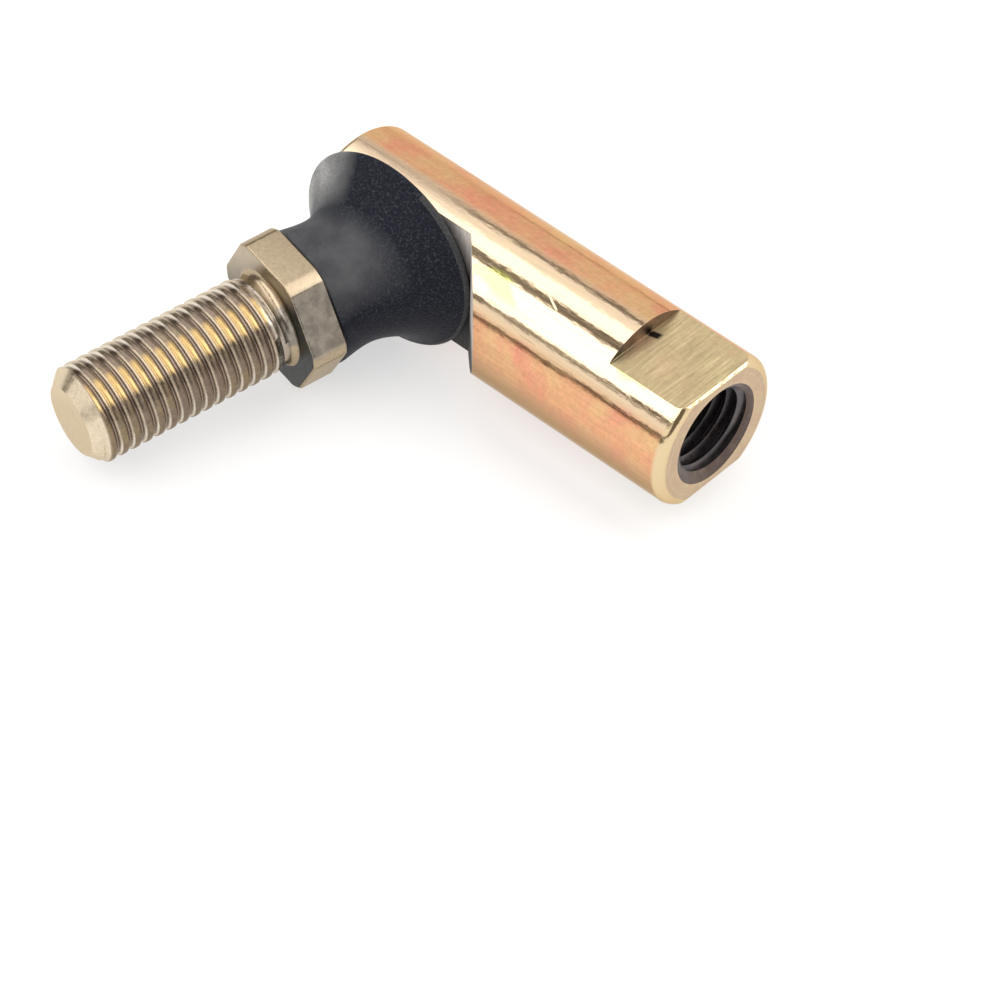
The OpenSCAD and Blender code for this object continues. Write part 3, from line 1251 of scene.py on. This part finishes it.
facedFinish = {
    "tip_plating": {
        "ground": (0.72, 0.58, 0.38, 1),
        "blush": (0.52, 0.41, 0.27, 1),
        "straw": (0.72, 0.57, 0.36, 1),
        # painted shade, darker towards the lower right of the tip
        "paintedShade": (0.60, 0.47, 0.29, 1),
        "shadeRun": (0, 3),
    },
    "hex_face_plating": {
        "ground": (0.50, 0.41, 0.29, 1),
        "blush": (0.42, 0.34, 0.24, 1),
        "straw": (0.54, 0.44, 0.30, 1),
        # painted shadow of the thread on the lower part of the hexagon's front face
        "paintedShade": (0.040, 0.041, 0.037, 1),
        "shadeRun": (-3.5, 1.0),
    },
}
facedGrain = {
    "patch": 0.8,
    "blushing": 0.5,
    "strawing": 0.6,
    "darkSide": (0.5, -0.1765, -0.86),
    "roughness": (0.3, 0.45),
    "scale": 4.0,
    "depth": 0.008,
}


def makeFacedZinc(name):
    s = facedFinish[name]
    grain = facedGrain
    material, tree, shader = newMaterial(name)
    place = placeInMillimetres(tree)
    tint = tintOn(tree, place, s, grain)
    offset = vectorMath(tree, "SUBTRACT", place, ballCentre / mm)
    # painted shade: darker towards the lower right
    towardsShade = vectorMath(tree, "DOT_PRODUCT", offset, grain["darkSide"], "Value")
    paintedShade = remap(tree, towardsShade, *s["shadeRun"])
    colour = mixColours(tree, paintedShade, tint.outputs["Colour"], s["paintedShade"])
    tree.links.new(colour, shader.inputs["Base Color"])
    rough = remap(tree, tint.outputs["Cloud"], *noiseRange, *grain["roughness"])
    tree.links.new(rough, shader.inputs["Roughness"])
    bumpFrom(tree, noiseOn(tree, place, grain["scale"], 3.0), grain["depth"], shader)
    shader.inputs["Metallic"].default_value = 1.0
    return material


rubberFinish = {
    "boot_rubber": {
        "black": (0.0085, 0.0098, 0.0160, 1),
        # painted sheen colour
        "paintedSheen": (0.42, 0.42, 0.408, 1),
        "speck": (0.066, 0.070, 0.084, 1),
    },
    # lighter rubber on one side of the lip: a painted highlight along its edge
    "boot_lip_highlight": {
        "black": (0.040, 0.040, 0.041, 1),
        "paintedSheen": (0.15, 0.15, 0.145, 1),
        "speck": (0.10, 0.10, 0.10, 1),
    },
}
# where the painted sheen lies: one side of the rim and the top of the waist
rubberSheen = {
    "rim": {"side": (-0.95, 0, 0.3), "share": (0.66, 1.0), "height": (6.0, 3.4), "strength": 1.0},
    "waist": {"side": (-0.05, 0, 1), "share": (0.2, 0.85), "height": (5.4, 7.2), "strength": 0.16},
}
rubberGrain = {
    "patchScale": 0.5,
    "patchNoise": (0.35, 0.6),
    "patchShade": (0.6, 1.0),
    "speckScale": 5.5,
    "speckNoise": (0.50, 0.68),
    "specking": 0.55,
    "roughness": (0.42, 0.6),
    "scale": 4.0,
    "depth": 0.1,
    "gloss": 0.08,
}


def makeRubber(name):
    s = rubberFinish[name]
    grain = rubberGrain
    material, tree, shader = newMaterial(name)
    place = placeInMillimetres(tree)
    offset = vectorMath(tree, "SUBTRACT", place, ballCentre / mm)
    fromAxis = lengthOf(tree, vectorMath(tree, "CROSS_PRODUCT", offset, socketAxis))
    fromBall = vectorMath(tree, "DOT_PRODUCT", offset, socketAxis, "Value")

    # a painted grey sheen lies on one side of the rim and on top of the waist
    paintedSheen = 0.0
    for zone in rubberSheen.values():
        share = facing(tree, offset, fromAxis, zone["side"], *zone["share"])
        share = times(tree, share, remap(tree, fromBall, *zone["height"]))
        paintedSheen = calculate(tree, "MAXIMUM", paintedSheen, times(tree, share, zone["strength"]))
    patches = noiseOn(tree, place, grain["patchScale"], 3.0)
    patches = remap(tree, patches, *grain["patchNoise"], *grain["patchShade"])
    colour = mixColours(tree, times(tree, paintedSheen, patches), s["black"], s["paintedSheen"])
    specks = remap(tree, noiseOn(tree, place, grain["speckScale"], 3.0, 0.7), *grain["speckNoise"])
    colour = mixColours(tree, times(tree, specks, grain["specking"]), colour, s["speck"])
    tree.links.new(colour, shader.inputs["Base Color"])
    tree.links.new(remap(tree, specks, 0, 1, *grain["roughness"]), shader.inputs["Roughness"])
    bumpFrom(tree, noiseOn(tree, place, grain["scale"], 4.0, 0.65), grain["depth"], shader)
    shader.inputs["Specular IOR Level"].default_value = grain["gloss"]
    return material


acetalFinish = {
    "ground": (0.74, 0.71, 0.63, 1),
    "pale": (0.80, 0.78, 0.72, 1),
    "cloudScale": 1.5,
    "roughness": (0.34, 0.46),
}


def makeAcetal():
    s = acetalFinish
    material, tree, shader = newMaterial("liner_acetal")
    cloud = noiseOn(tree, placeInMillimetres(tree), s["cloudScale"], 3.0)
    tree.links.new(mixColours(tree, cloud, s["ground"], s["pale"]), shader.inputs["Base Color"])
    tree.links.new(remap(tree, cloud, *noiseRange, *s["roughness"]), shader.inputs["Roughness"])
    return material


def giveMaterials(piece, materials, choose):
    piece.data.materials.clear()
    for material in materials:
        piece.data.materials.append(material)
    order = [material.name for material in materials]
    for face in piece.data.polygons:
        face.material_index = order.index(choose(face))


housing = makeHousing()
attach(housing, "housing")
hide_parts("housing")


# How far each finish reaches, and how squarely a face has to look to its side
housingFaces = {
    "boreReach": 3,
    "mouthSquare": 0.95,
    "flatReach": 0.5,
    "flatSquare": 0.99,
    "stepSquare": 0.9,
    "endSquare": 0.99,
    "frontTo": -15,
    "frontSquare": 0.6,
}


def housingFinish(face):
    s = housingSizes
    f = housingFaces
    x, y, z = face.center / mm
    normal = face.normal
    fromAxis = math.hypot(y, z)
    inBore = x > rodThread["boreEnd"] - f["boreReach"] and fromAxis < rodThread["mouth"]
    if inBore and normal.x < f["mouthSquare"]:
        return "countersink_zinc" if x > 0 else "bore_steel"
    if x > s["wrenchFrom"] - f["flatReach"] and abs(normal.z) > f["flatSquare"]:
        return "wrench_flat_zinc"
    # the step wall takes the painted shade
    if abs(x - s["wrenchFrom"]) < tolerance and normal.x > f["stepSquare"]:
        return "step_painted_shade"
    if abs(normal.x) > f["endSquare"]:
        return "end_zinc"
    inFront = y < s["frontFace"] + tolerance and x < f["frontTo"]
    if inFront and normal.y < -f["frontSquare"] and fromAxis < s["barRadius"] - tolerance:
        return "milled_face_zinc"
    return "bar_zinc"


giveMaterials(
    housing,
    [makeBarZinc()]
    + [makeMilledZinc(name) for name in milledFinish]
    + [makeTurnedZinc(name) for name in turnedFinish],
    housingFinish,
)

stud = makeStud()
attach(stud, "stud")
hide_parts("ball_stud")


def studLook(face):
    height = (face.center - ballCentre).dot(studAxis) / mm
    if face.normal.dot(studAxis) < 0.98:
        return "stud_plating"
    if abs(height - studSizes["tip"]) < tolerance:
        return "tip_plating"
    onHexagon = abs(height - studSizes["hexTo"]) < tolerance
    return "hex_face_plating" if onHexagon else "stud_plating"


giveMaterials(stud, [makeStudZinc()] + [makeFacedZinc(name) for name in facedFinish], studLook)

boot = makeBoot()
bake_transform(boot)
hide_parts("boot")
rimCentre = socketFrame @ ringCentre(bootSizes["rimHeight"])


def bootLook(face):
    out = face.center - rimCentre
    out -= socketAxis * out.dot(socketAxis)
    # the lip on one side takes the painted highlight
    onLip = out.length > bootSizes["lipRadius"] * mm and out.x > bootSizes["lipSide"] * out.length
    return "boot_lip_highlight" if onLip else "boot_rubber"


giveMaterials(boot, [makeRubber(name) for name in rubberFinish], bootLook)

liner = frame["nodes"]["socket_liner"]
giveMaterials(liner, [makeAcetal()], lambda face: "liner_acetal")
print("materials given")


# Studio: pale floor, soft panels above and around, and a dim room between them

studio = {
    "floorSize": 6.0,
    "floorTones": ((0.36, 0.36, 0.36, 1), (0.39, 0.39, 0.39, 1)),
    "floorGlow": 0.57,
    "floorRoughness": 0.9,
    "floorCloud": (0.02, 0.02, 0.02),
    "room": 0.2,
    "roomColour": (1, 0.88, 0.76, 1),
    "panels": {
        "top_front": {
            "centre": (-0.15, 0.054, 0.55),
            "back": (0, 0, 1),
            "long": 1.5, "wide": 0.2225, "glow": 2.1,
        },
        "top_back": {
            "centre": (-0.15, 0.261, 0.55),
            "back": (0, 0, 1),
            "long": 1.5, "wide": 0.192, "glow": 1.1,
        },
        "top_right": {
            "centre": (0.42, 0.36, 0.56),
            "back": (0, 0, 1),
            "long": 0.5, "wide": 0.36, "glow": 2.6,
        },
        "front": {
            "centre": (-0.15, -0.367, 0.474),
            "back": (0, -0.612, 0.79),
            "long": 1.4, "wide": 0.431, "glow": 2.4,
        },
        "strip": {
            "centre": (-0.15, -0.618, 0.201),
            "back": (0, -0.951, 0.309),
            "long": 1.6, "wide": 0.183, "glow": 1.0,
        },
        "front_card": {
            "centre": (-0.15, -0.6, 0.016),
            "back": (0, -1, 0),
            "long": 1.6, "wide": 0.04, "glow": 0.85,
        },
        "back_card": {
            "centre": (-0.15, 0.75, 0.457),
            "back": (0, 1, 0),
            "long": 2.0, "wide": 0.874, "glow": 0.78,
        },
        "side_card": {
            "centre": (0.9, 0.5, 0.25),
            "back": (1, 0, 0),
            "long": 1.2, "wide": 0.5, "glow": 0.8,
        },
        "edge_light": {
            "centre": (0.86, 0.62, 0.62),
            "back": (1, 0, 0),
            "long": 0.5, "wide": 0.22, "glow": 4.0,
        },
    },
}


def addPanel(name, centre, back, long, wide, glow):
    bpy.ops.object.select_all(action="DESELECT")
    bpy.ops.object.light_add(type="AREA", location=centre)
    panel = bpy.context.object
    panel.name = name
    panel.data.shape = "RECTANGLE"
    panel.data.size = long
    panel.data.size_y = wide
    panel.data.energy = glow * math.pi * long * wide
    panel.visible_camera = False
    back = Vector(back).normalized()
    along = Vector((0, 1, 0)) if back.x else Vector((1, 0, 0))
    turn = Matrix((along, back.cross(along), back)).transposed()
    panel.matrix_world = Matrix.Translation(centre) @ turn.to_4x4()


for panelName, panelSizes in studio["panels"].items():
    addPanel(panelName, **panelSizes)

world = bpy.data.worlds.new("room")
bpy.context.scene.world = world
world.use_nodes = True
world.node_tree.nodes["Background"].inputs["Color"].default_value = studio["roomColour"]
world.node_tree.nodes["Background"].inputs["Strength"].default_value = studio["room"]

bpy.ops.object.select_all(action="DESELECT")
bpy.ops.mesh.primitive_plane_add(size=studio["floorSize"], location=(0, 0, cadBox[0].z))
floor = newPiece("floor")
floorMaterial, floorTree, floorShader = newMaterial("floor_paper")
floorCloud = noiseOn(floorTree, placeInMillimetres(floorTree, studio["floorCloud"]), 1.0)
floorColour = mixColours(floorTree, floorCloud, *studio["floorTones"])
floorTree.links.new(floorColour, floorShader.inputs["Base Color"])
floorShader.inputs["Roughness"].default_value = studio["floorRoughness"]
floorShader.inputs["Emission Color"].default_value = (1, 1, 1, 1)
floorShader.inputs["Emission Strength"].default_value = studio["floorGlow"]
floor.data.materials.append(floorMaterial)
bpy.context.scene.view_settings.view_transform = "Standard"
print("studio lit")
